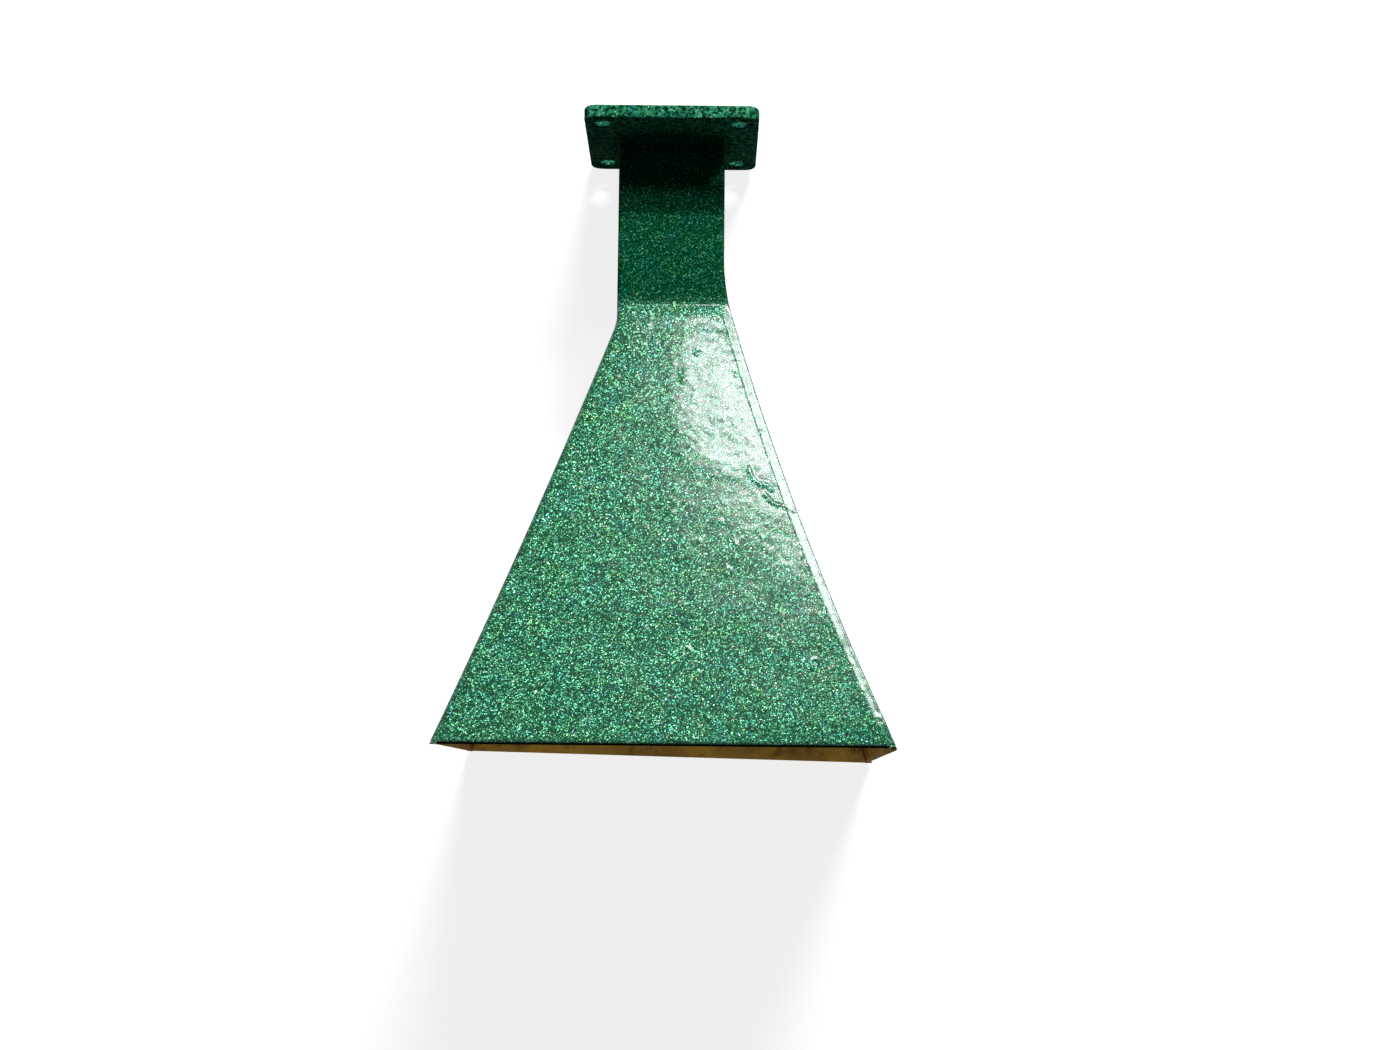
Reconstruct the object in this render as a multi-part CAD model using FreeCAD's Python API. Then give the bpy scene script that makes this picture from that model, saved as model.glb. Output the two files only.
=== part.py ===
import FreeCAD, Part
import math
import os
from FreeCAD import Placement, Rotation, Vector

# Pyramidal horn antenna on a rectangular waveguide, in mm.
# The flange's mating face lies in the plane y = 0 with its centre at the origin.
# The horn looks along -Y, X runs along the broad wall of the waveguide and Z is up.

# Drawn brass waveguide tube for the 8 to 12 GHz band
bore_width = 22.86
bore_height = 10.16
bore_corner_radius = 0.4
tube_wall = 1.27
tube_corner_radius = 0.8

# Square flange plate, through which the tube passes flush with the mating face
flange_side = 41.4
flange_thickness = 3.2
flange_corner_radius = 3.0
flange_back_round = 0.4
flange_face_break = 0.2
bolt_hole_diameter = 4.3
bolt_hole_break = 0.25
bolt_to_side_edge = 4.45
bolt_to_top_edge = 5.2
slot_clearance = 0.05
flange_braze_size = 1.2

# Flare of four brass sheets: mouth measured outside, distances from the mating face
mouth_width = 102.4
mouth_height = 77.4
mouth_distance = 151.3
left_throat_distance = 49.5
right_throat_distance = 40.0
broad_throat_distance = 44.6
sheet_thickness = 1.2
left_wall_bow = 0.6
right_wall_bow = 2.3
broad_wall_bow = 0.9
left_bend_radius = 5.0
right_bend_radius = 60.0
broad_bend_radius = 4.0
collar_length = 1.0

# How far each sheet's rim stands ahead of the nominal mouth at its two ends, as cut by hand
top_rim_left_lead = 0.0
top_rim_right_lead = 0.0
right_rim_top_lead = 0.9
bottom_rim_right_lead = 0.6
bottom_rim_left_lead = -1.7
rim_allowance = 3.0

# Brazed corner seams of the flare
seam_root_gap = 0.25
seam_outer_round = 1.2
seam_bead_reach = 0.55
seam_bend_steps = 5
seam_flare_steps = 10
seam_least_step = 0.2

# Sizes that follow from the ones above
tube_width = bore_width + 2 * tube_wall
tube_height = bore_height + 2 * tube_wall
bolt_spacing_x = flange_side - 2 * bolt_to_side_edge
bolt_spacing_z = flange_side - 2 * bolt_to_top_edge
sheet_edge_inset = sheet_thickness + seam_root_gap
seam_outer_radius = min(seam_outer_round, sheet_thickness)
seam_bead_radius = seam_root_gap + seam_bead_reach
clear_of_part = 2 * max(mouth_width, mouth_height, mouth_distance)


class FlareSide:
    """One side of the flare seen edge-on, as distance d from the mating face and
    half-width w: a straight collar, the bend at the throat and a long bowed arc."""

    def __init__(self, half_throat, half_mouth, throat_distance, bow, bend_radius, place):
        self.half_throat = half_throat
        self.half_mouth = half_mouth
        self.bend_radius = bend_radius
        self.place = place
        run = mouth_distance - throat_distance
        rise = half_mouth - half_throat
        chord = math.hypot(run, rise)
        normal_d = -rise / chord
        normal_w = run / chord
        self.arc_radius = (chord * chord / 4 + bow * bow) / (2 * bow)
        to_centre = self.arc_radius - bow
        self.arc_d = throat_distance + run / 2 + to_centre * normal_d
        self.arc_w = half_throat + rise / 2 + to_centre * normal_w
        between = self.arc_radius - bend_radius
        self.bend_w = half_throat + bend_radius
        self.bend_d = self.arc_d + math.sqrt(between ** 2 - (self.bend_w - self.arc_w) ** 2)
        self.bend_turn = math.atan2(self.bend_d - self.arc_d, self.arc_w - self.bend_w)
        self.mouth_turn = math.atan2(mouth_distance - self.arc_d, self.arc_w - half_mouth)

    def on_bend(self, turn, inset):
        radius = self.bend_radius + inset
        return (self.bend_d + radius * math.sin(turn), self.bend_w - radius * math.cos(turn))

    def on_arc(self, turn, inset):
        radius = self.arc_radius + inset
        return (self.arc_d + radius * math.sin(turn), self.arc_w - radius * math.cos(turn))

    def edges(self, start, inset):
        """The curve at this depth under the outer face, run on past the mouth."""
        last_turn = self.mouth_turn + rim_allowance / self.arc_radius
        points = [
            (start, self.half_throat - inset),
            self.on_bend(0.0, inset),
            self.on_bend(self.bend_turn / 2, inset),
            self.on_bend(self.bend_turn, inset),
            self.on_arc((self.bend_turn + last_turn) / 2, inset),
            self.on_arc(last_turn, inset),
        ]
        collar, bend_start, bend_middle, bend_end, arc_middle, arc_end = [
            self.place(d, w) for d, w in points
        ]
        return [
            Part.LineSegment(collar, bend_start).toShape(),
            Part.Arc(bend_start, bend_middle, bend_end).toShape(),
            Part.Arc(bend_end, arc_middle, arc_end).toShape(),
        ]

    def half_width(self, distance, inset):
        """Half-width at this distance from the mating face, at this depth under the outer face."""
        bend_radius = self.bend_radius + inset
        if distance <= self.bend_d:
            return self.half_throat - inset
        if distance <= self.bend_d + bend_radius * math.sin(self.bend_turn):
            return self.bend_w - math.sqrt(bend_radius ** 2 - (distance - self.bend_d) ** 2)
        arc_radius = self.arc_radius + inset
        return self.arc_w - math.sqrt(arc_radius ** 2 - (distance - self.arc_d) ** 2)

    def sheet_normal(self):
        """Direction across the sheet's thickness at the mouth."""
        outer = self.place(*self.on_arc(self.mouth_turn, 0.0))
        inner = self.place(*self.on_arc(self.mouth_turn, sheet_thickness))
        return (outer - inner).normalize()


def closed_face(first, second):
    """Flat face between two curves that start and end side by side."""
    ends = [(first[0].Vertexes[0].Point, second[0].Vertexes[0].Point),
            (first[-1].Vertexes[-1].Point, second[-1].Vertexes[-1].Point)]
    across = [Part.LineSegment(a, b).toShape() for a, b in ends]
    return Part.Face(Part.Wire(Part.__sortEdges__(first + second + across)))


def extrude_both_ways(face, direction):
    """Prism of the face that runs the same way to both sides of its plane."""
    face.translate(direction * (-clear_of_part / 2))
    return face.extrude(direction * clear_of_part)


def rounded_bar(width, height, radius, start, end):
    """Bar along Y between two distances from the mating face, with rounded long edges."""
    corner = Vector(-width / 2, -end, -height / 2)
    bar = Part.makeBox(width, end - start, height, corner)
    long_edges = [e for e in bar.Edges if abs(e.tangentAt(0).y) > math.cos(math.pi / 4)]
    return bar.makeFillet(radius, long_edges)


def cut_ahead(shape, point_a, point_b, thickness_direction):
    """Removes what lies ahead of the plane through both points and across the sheet."""
    normal = (point_b - point_a).cross(thickness_direction).normalize()
    if normal.y > 0:
        normal = normal * -1
    size = clear_of_part
    block = Part.makeBox(size, size, size, Vector(-size / 2, -size / 2, 0))
    block.Placement = Placement(point_a, Rotation(Vector(0, 0, 1), normal))
    return shape.cut(block)


def make_tube(end):
    """Waveguide tube: flush with the mating face, cut square where the flare starts."""
    outside = rounded_bar(tube_width, tube_height, tube_corner_radius, 0.0, end)
    bore = rounded_bar(bore_width, bore_height, bore_corner_radius, -tube_wall, end + tube_wall)
    return outside.cut(bore)


def make_flange():
    """Square plate with rounded corners, a slot for the tube and four bolt holes."""
    plate = rounded_bar(flange_side, flange_side, flange_corner_radius, 0.0, flange_thickness)
    back = [e for e in plate.Edges if abs(e.CenterOfMass.y + flange_thickness) < flange_face_break / 2]
    plate = plate.makeFillet(flange_back_round, back)
    front = [e for e in plate.Edges if abs(e.CenterOfMass.y) < flange_face_break / 2]
    plate = plate.makeChamfer(flange_face_break, front)
    slot_radius = tube_corner_radius + slot_clearance
    slot_width = tube_width + 2 * slot_clearance
    slot_height = tube_height + 2 * slot_clearance
    plate = plate.cut(rounded_bar(slot_width, slot_height, slot_radius, -tube_wall,
                                  flange_thickness + tube_wall))
    along = Vector(0, 1, 0)
    radius = bolt_hole_diameter / 2
    mouth_radius = radius + bolt_hole_break
    for x in (-bolt_spacing_x / 2, bolt_spacing_x / 2):
        for z in (-bolt_spacing_z / 2, bolt_spacing_z / 2):
            back_centre = Vector(x, -flange_thickness, z)
            hole = Part.makeCylinder(radius, flange_thickness, back_centre, along)
            back_cone = Part.makeCone(mouth_radius, radius, bolt_hole_break, back_centre, along)
            face_cone = Part.makeCone(mouth_radius, radius, bolt_hole_break, Vector(x, 0, z), -along)
            plate = plate.cut(hole.fuse([back_cone, face_cone]))
    return plate


def make_flange_braze():
    """Fillet of braze round the tube, in the corner where it leaves the flange's back."""
    far_end = flange_thickness + 2 * flange_braze_size
    stub = rounded_bar(tube_width, tube_height, tube_corner_radius, 0.0, far_end)
    plate = Part.makeBox(flange_side, flange_thickness, flange_side,
                         Vector(-flange_side / 2, -flange_thickness, -flange_side / 2))
    joined = plate.fuse(stub).removeSplitter()
    corner = [e for e in joined.Edges
              if abs(e.CenterOfMass.y + flange_thickness) < slot_clearance
              and abs(e.CenterOfMass.x) < flange_side / 2 - tube_wall
              and abs(e.CenterOfMass.z) < flange_side / 2 - tube_wall]
    return joined.makeFillet(flange_braze_size, corner).cut(joined)


def seam_section(narrow, broad, x_side, z_side, distance):
    """Outline of the braze in one corner, square to Y: it fills the square between the
    edges of two sheets, is rounded outside, and runs through the root gap to a hollow fillet."""
    x_outer, x_inner, x_edge = [narrow.half_width(distance, inset)
                                for inset in (0.0, sheet_thickness, sheet_edge_inset)]
    z_outer, z_inner, z_edge = [broad.half_width(distance, inset)
                                for inset in (0.0, sheet_thickness, sheet_edge_inset)]
    outer = seam_outer_radius
    bead = seam_bead_radius
    outer_middle = outer * (1 - math.cos(math.pi / 4))
    bead_middle = bead * (1 - math.sin(math.pi / 4))

    def at(x, z):
        return Vector(x_side * x, -distance, z_side * z)

    def line(a, b):
        return Part.LineSegment(a, b).toShape()

    round_start = at(x_outer - outer, z_outer)
    round_middle = at(x_outer - outer_middle, z_outer - outer_middle)
    round_end = at(x_outer, z_outer - outer)
    side_edge = at(x_outer, z_edge)
    side_root = at(x_inner, z_edge)
    bead_side = at(x_inner, z_inner - bead)
    bead_centre = at(x_inner - bead_middle, z_inner - bead_middle)
    bead_broad = at(x_inner - bead, z_inner)
    broad_root = at(x_edge, z_inner)
    broad_edge = at(x_edge, z_outer)
    return Part.Wire([
        Part.Arc(round_start, round_middle, round_end).toShape(),
        line(round_end, side_edge),
        line(side_edge, side_root),
        line(side_root, bead_side),
        Part.Arc(bead_side, bead_centre, bead_broad).toShape(),
        line(bead_broad, broad_root),
        line(broad_root, broad_edge),
        line(broad_edge, round_start),
    ])


def seam_stations(narrow, broad, start):
    """Where a seam's sections stand: close together along each bend, wider apart beyond."""
    wanted = [start]
    for side in (narrow, broad):
        bend_end = side.on_bend(side.bend_turn, sheet_edge_inset)[0]
        step = (bend_end - side.bend_d) / seam_bend_steps
        wanted += [side.bend_d + step * count for count in range(seam_bend_steps + 1)]
    last_bend_end = max(wanted)
    step = (mouth_distance + rim_allowance - last_bend_end) / seam_flare_steps
    wanted += [last_bend_end + step * count for count in range(1, seam_flare_steps + 1)]
    stations = []
    for distance in sorted(wanted):
        if not stations or distance - stations[-1] > seam_least_step:
            stations.append(distance)
    return stations


def make_seam(narrow, broad, x_side, z_side, start):
    """Braze along one corner of the flare, as flat-sided lengths between its sections."""
    sections = [seam_section(narrow, broad, x_side, z_side, distance)
                for distance in seam_stations(narrow, broad, start)]
    return Part.makeLoft(sections, True, True)


def make_horn():
    """The four sheets of the flare, the braze in its four corners, and where the tube ends."""
    half_tube_width = tube_width / 2
    half_tube_height = tube_height / 2
    half_width = mouth_width / 2
    half_height = mouth_height / 2
    left = FlareSide(half_tube_width, half_width, left_throat_distance, left_wall_bow,
                     left_bend_radius, lambda d, w: Vector(-w, -d, 0))
    right = FlareSide(half_tube_width, half_width, right_throat_distance, right_wall_bow,
                      right_bend_radius, lambda d, w: Vector(w, -d, 0))
    top = FlareSide(half_tube_height, half_height, broad_throat_distance, broad_wall_bow,
                    broad_bend_radius, lambda d, w: Vector(0, -d, w))
    bottom = FlareSide(half_tube_height, half_height, broad_throat_distance, broad_wall_bow,
                       broad_bend_radius, lambda d, w: Vector(0, -d, -w))
    start = min(side.bend_d for side in (left, right, top, bottom)) - collar_length
    along_x = Vector(1, 0, 0)
    along_z = Vector(0, 0, 1)

    def plan(inset):
        face = closed_face(left.edges(start, inset), right.edges(start, inset))
        return extrude_both_ways(face, along_z)

    def profile(inset):
        face = closed_face(bottom.edges(start, inset), top.edges(start, inset))
        return extrude_both_ways(face, along_x)

    def sheet(side, direction, between):
        face = closed_face(side.edges(start, 0.0), side.edges(start, sheet_thickness))
        return extrude_both_ways(face, direction).common(between)

    in_plan = plan(sheet_edge_inset)
    in_profile = profile(sheet_edge_inset)
    sheets = {
        "horn_top_wall": sheet(top, along_x, in_plan),
        "horn_bottom_wall": sheet(bottom, along_x, in_plan),
        "horn_left_wall": sheet(left, along_z, in_profile),
        "horn_right_wall": sheet(right, along_z, in_profile),
    }

    def mouth_point(x_side, z_side, lead):
        return Vector(x_side * half_width, -(mouth_distance + lead), z_side * half_height)

    rims = {
        "horn_top_wall": (mouth_point(-1, 1, top_rim_left_lead),
                          mouth_point(1, 1, top_rim_right_lead), top.sheet_normal()),
        "horn_bottom_wall": (mouth_point(-1, -1, bottom_rim_left_lead),
                             mouth_point(1, -1, bottom_rim_right_lead), bottom.sheet_normal()),
        "horn_left_wall": (mouth_point(-1, 1, top_rim_left_lead),
                           mouth_point(-1, -1, bottom_rim_left_lead), left.sheet_normal()),
        "horn_right_wall": (mouth_point(1, 1, right_rim_top_lead),
                            mouth_point(1, -1, bottom_rim_right_lead), right.sheet_normal()),
    }
    pieces = {name: cut_ahead(shape, *rims[name]) for name, shape in sheets.items()}
    for level, broad, z_side in (("top", top, 1), ("bottom", bottom, -1)):
        for hand, narrow, x_side in (("left", left, -1), ("right", right, 1)):
            seam = make_seam(narrow, broad, x_side, z_side, start)
            pieces["seam_braze_" + level + "_" + hand] = cut_ahead(seam, *rims["horn_" + level + "_wall"])
    return pieces, start


horn_pieces, tube_end = make_horn()
nodes = {
    "flange": make_flange(),
    "waveguide_tube": make_tube(tube_end),
    "flange_braze_fillet": make_flange_braze(),
}
nodes.update(horn_pieces)

os.makedirs("parts", exist_ok=True)
for name, shape in nodes.items():
    print(name, "solids", len(shape.Solids), "valid", shape.isValid(), "volume", round(shape.Volume, 1))
    shape.exportStep("parts/" + name + ".step")
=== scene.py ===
import math

import bmesh
import bpy
from mathutils import Matrix, Vector, geometry, noise


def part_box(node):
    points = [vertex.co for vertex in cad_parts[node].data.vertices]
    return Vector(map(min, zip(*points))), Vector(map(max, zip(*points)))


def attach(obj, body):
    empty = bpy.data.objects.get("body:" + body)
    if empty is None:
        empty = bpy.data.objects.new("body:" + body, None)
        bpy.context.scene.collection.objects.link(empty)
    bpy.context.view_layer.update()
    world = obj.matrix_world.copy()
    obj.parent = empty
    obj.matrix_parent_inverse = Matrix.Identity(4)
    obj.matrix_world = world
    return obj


# Pyramidal horn antenna, enamelled outside and bare brass inside, in metres.
# The flange's mating face is at y = 0, the horn looks along -Y and Z is up.
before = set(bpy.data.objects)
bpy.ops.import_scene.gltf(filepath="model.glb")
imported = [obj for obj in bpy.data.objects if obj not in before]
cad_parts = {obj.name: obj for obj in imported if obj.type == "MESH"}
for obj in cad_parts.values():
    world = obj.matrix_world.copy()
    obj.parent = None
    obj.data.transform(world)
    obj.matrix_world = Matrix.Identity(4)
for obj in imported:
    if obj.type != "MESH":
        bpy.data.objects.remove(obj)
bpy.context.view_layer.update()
MM = 0.001


# Waveguide tube
# A rectangular brass tube, drawn to size. The flange and the flare are brazed to its ends.
# Its bore stays bare and dulls to brown, with fine lines along the tube from the drawing.

def node(tree, kind, **settings):
    """Adds a node and sets its properties; a key that is no property is an input's name."""
    made = tree.nodes.new(kind)
    for key, value in settings.items():
        if hasattr(made, key):
            setattr(made, key, value)
        else:
            made.inputs[key.replace("_", " ")].default_value = value
    return made


def link(tree, source, target):
    tree.links.new(source, target)


def calculate(tree, operation, *values, clamp=False):
    """Math node on numbers or sockets; returns its result."""
    made = tree.nodes.new("ShaderNodeMath")
    made.operation = operation
    made.use_clamp = clamp
    for socket, value in zip(made.inputs, values):
        if isinstance(value, (int, float)):
            socket.default_value = value
        else:
            tree.links.new(value, socket)
    return made.outputs[0]


def blend_colors(tree, factor, first, second, kind="MIX"):
    """Mix node on colours or sockets; returns its result."""
    made = tree.nodes.new("ShaderNodeMix")
    made.data_type = "RGBA"
    made.blend_type = kind
    for socket, value in ((made.inputs[0], factor), (made.inputs[6], first), (made.inputs[7], second)):
        if isinstance(value, (int, float, tuple)):
            socket.default_value = value
        else:
            tree.links.new(value, socket)
    return made.outputs[2]


def step_up(tree, value, low, high):
    """0 below low, 1 above high, with a soft step between."""
    made = node(tree, "ShaderNodeMapRange", interpolation_type="SMOOTHSTEP")
    made.inputs["From Min"].default_value = low
    made.inputs["From Max"].default_value = high
    link(tree, value, made.inputs["Value"])
    return made.outputs["Result"]


def noise_at(tree, place, size, detail=2.0, distortion=0.0, roughness=0.5):
    """Noise whose blotches are about this size, in metres."""
    made = node(tree, "ShaderNodeTexNoise", Scale=1 / size, Detail=detail,
                Distortion=distortion, Roughness=roughness)
    link(tree, place, made.inputs["Vector"])
    return made.outputs["Fac"]


def linear(red, green, blue):
    """Colour from 0 to 255 as a screen shows it, in the shader's linear scale."""
    parts = [value / 255 for value in (red, green, blue)]
    parts = [p / 12.92 if p <= 0.04045 else ((p + 0.055) / 1.055) ** 2.4 for p in parts]
    return (*parts, 1.0)


def new_group(name, inputs, outputs):
    """Empty node group with named sockets; returns it with its input and output nodes."""
    group = bpy.data.node_groups.new(name, "ShaderNodeTree")
    for socket_name, kind, value in inputs:
        socket = group.interface.new_socket(socket_name, in_out="INPUT", socket_type=kind)
        socket.default_value = value
    for socket_name, kind in outputs:
        group.interface.new_socket(socket_name, in_out="OUTPUT", socket_type=kind)
    return group, group.nodes.new("NodeGroupInput"), group.nodes.new("NodeGroupOutput")


FLOAT = "NodeSocketFloat"
COLOR = "NodeSocketColor"
VECTOR = "NodeSocketVector"
DULL_PATCH = 14 * MM
DULL_CLOUD = 3.2 * MM
STAIN_SPOT = 3.0 * MM
DRAWN_LINE = 0.35 * MM


def build_dull_brass():
    """Bare brass that has dulled in patches, with brown spots and fine lines one way."""
    group, given, result = new_group(
        "dull brass",
        [("Clean", COLOR, (0.6, 0.45, 0.2, 1)), ("Dull", COLOR, (0.3, 0.2, 0.08, 1)),
         ("Stain", COLOR, (0.08, 0.05, 0.03, 1)), ("Dullness", FLOAT, 0.5),
         ("Staining", FLOAT, 0.3), ("Grain", VECTOR, (1, 1, 1))],
        [("Color", COLOR), ("Roughness", FLOAT), ("Height", FLOAT)])
    place = node(group, "ShaderNodeTexCoord").outputs["Object"]
    patches = noise_at(group, place, DULL_PATCH, detail=5, distortion=0.6, roughness=0.6)
    clouds = noise_at(group, place, DULL_CLOUD, detail=4, roughness=0.65)
    spots = noise_at(group, place, STAIN_SPOT, detail=4, roughness=0.55)
    stretch = node(group, "ShaderNodeVectorMath", operation="MULTIPLY")
    link(group, place, stretch.inputs[0])
    link(group, given.outputs["Grain"], stretch.inputs[1])
    lines = noise_at(group, stretch.outputs[0], DRAWN_LINE, detail=3, roughness=0.7)
    uneven = calculate(group, "MULTIPLY_ADD", clouds, 0.5, patches)
    uneven = calculate(group, "ADD", uneven, calculate(group, "MULTIPLY", given.outputs["Dullness"], 0.6))
    dulled = step_up(group, uneven, 0.75, 1.3)
    color = blend_colors(group, dulled, given.outputs["Clean"], given.outputs["Dull"])
    line_shade = calculate(group, "MULTIPLY_ADD", lines, 0.5, 0.75)
    shade = node(group, "ShaderNodeCombineColor")
    for channel in ("Red", "Green", "Blue"):
        link(group, line_shade, shade.inputs[channel])
    color = blend_colors(group, 1.0, color, shade.outputs[0], "MULTIPLY")
    stained = calculate(group, "MULTIPLY_ADD", given.outputs["Staining"], 0.22, spots)
    stained = calculate(group, "MULTIPLY_ADD", patches, 0.3, stained)
    stained = step_up(group, stained, 0.74, 1.1)
    color = blend_colors(group, calculate(group, "MULTIPLY", stained, 0.8), color, given.outputs["Stain"])
    rough = calculate(group, "MULTIPLY_ADD", dulled, 0.2, 0.3)
    rough = calculate(group, "MULTIPLY_ADD", stained, 0.2, rough)
    rough = calculate(group, "MULTIPLY_ADD", lines, 0.12, rough)
    height = calculate(group, "MULTIPLY_ADD", stained, -0.3, lines)
    link(group, color, result.inputs["Color"])
    link(group, rough, result.inputs["Roughness"])
    link(group, height, result.inputs["Height"])
    return group


dull_brass = build_dull_brass()
BRASS_EDGE_TINT = (0.6, 0.5, 0.33, 1.0)


def set_inputs(made, values):
    """Sets a node's inputs by name."""
    for socket_name, value in values.items():
        made.inputs[socket_name].default_value = value


def brass_finish(name, brass, relief):
    """Material of bare brass with its own colours, dullness and direction of the lines."""
    material = bpy.data.materials.new(name)
    material.use_nodes = True
    tree = material.node_tree
    shader = tree.nodes["Principled BSDF"]
    shader.inputs["Metallic"].default_value = 1.0
    shader.inputs["Specular Tint"].default_value = BRASS_EDGE_TINT
    surface = node(tree, "ShaderNodeGroup", node_tree=dull_brass)
    set_inputs(surface, brass)
    bump = node(tree, "ShaderNodeBump", Strength=0.35, Distance=relief)
    link(tree, surface.outputs["Color"], shader.inputs["Base Color"])
    link(tree, surface.outputs["Roughness"], shader.inputs["Roughness"])
    link(tree, surface.outputs["Height"], bump.inputs["Height"])
    link(tree, bump.outputs["Normal"], shader.inputs["Normal"])
    return material


def dress(name, material):
    """Gives a piece of the frame its finish."""
    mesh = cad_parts[name].data
    mesh.materials.clear()
    mesh.materials.append(material)


BRASS_DULL = linear(92, 70, 32)
BRASS_BROWN = linear(56, 40, 24)


def brass_values(clean, dullness, staining, grain, dull=BRASS_DULL):
    """Settings of the dull brass; the lines run where the grain is small."""
    return {"Clean": clean, "Dull": dull, "Stain": BRASS_BROWN,
            "Dullness": dullness, "Staining": staining, "Grain": grain}


LINE_RELIEF = 0.02 * MM
TUBE_METAL = brass_values(linear(203, 170, 96), 0.6, 0.25, (1.0, 0.03, 1.0))
dress("waveguide_tube", brass_finish("drawn_brass", TUBE_METAL, LINE_RELIEF))


# Flange
# A square brass plate, bored for four bolts and slotted for the tube, then brazed to it.
# The mating face is rubbed flat afterwards and stays bare; the rest, bolt holes too, is enamelled.

THROAT_BLEND = (-3 * MM, 2 * MM)
HUE_PATCH = 4.2 * MM
FINE_PEEL = 1.5 * MM
BLUISH_TINT = (0.5, 0.92, 1.6, 1)
YELLOWISH_TINT = (1.5, 1.04, 0.6, 1)
WARM_PAINTED_GLINT = (0.56, 0.62, 0.38, 1)
COLD_PAINTED_GLINT = (0.26, 0.46, 0.75, 1)


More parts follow.
